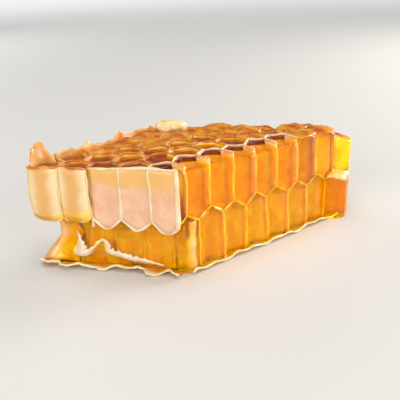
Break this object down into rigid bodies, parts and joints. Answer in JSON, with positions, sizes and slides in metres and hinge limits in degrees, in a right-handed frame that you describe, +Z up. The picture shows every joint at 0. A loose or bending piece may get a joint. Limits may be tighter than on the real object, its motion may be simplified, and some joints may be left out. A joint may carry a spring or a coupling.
{
  "type": "honeycomb piece",
  "caption": "Chunk of cut honeycomb for eating: two back-to-back layers of six-sided wax cells full of honey, with two cut faces and torn edges at the back.",
  "frame": {"origin": "foot of the middle cell of the lower layer, on the plane that the piece rests on", "axes": "+Z up, along the cells; +X from the broken left end to the right end; -Y towards the cut corner in front"},
  "size_m": [0.0609, 0.0335, 0.0217],
  "materials": {
    "honeycomb": "wet, glossy honey over pale beeswax, both translucent"
  },
  "bodies": {
    "root": {"honeycomb": "honeycomb"}
  },
  "joints": []
}
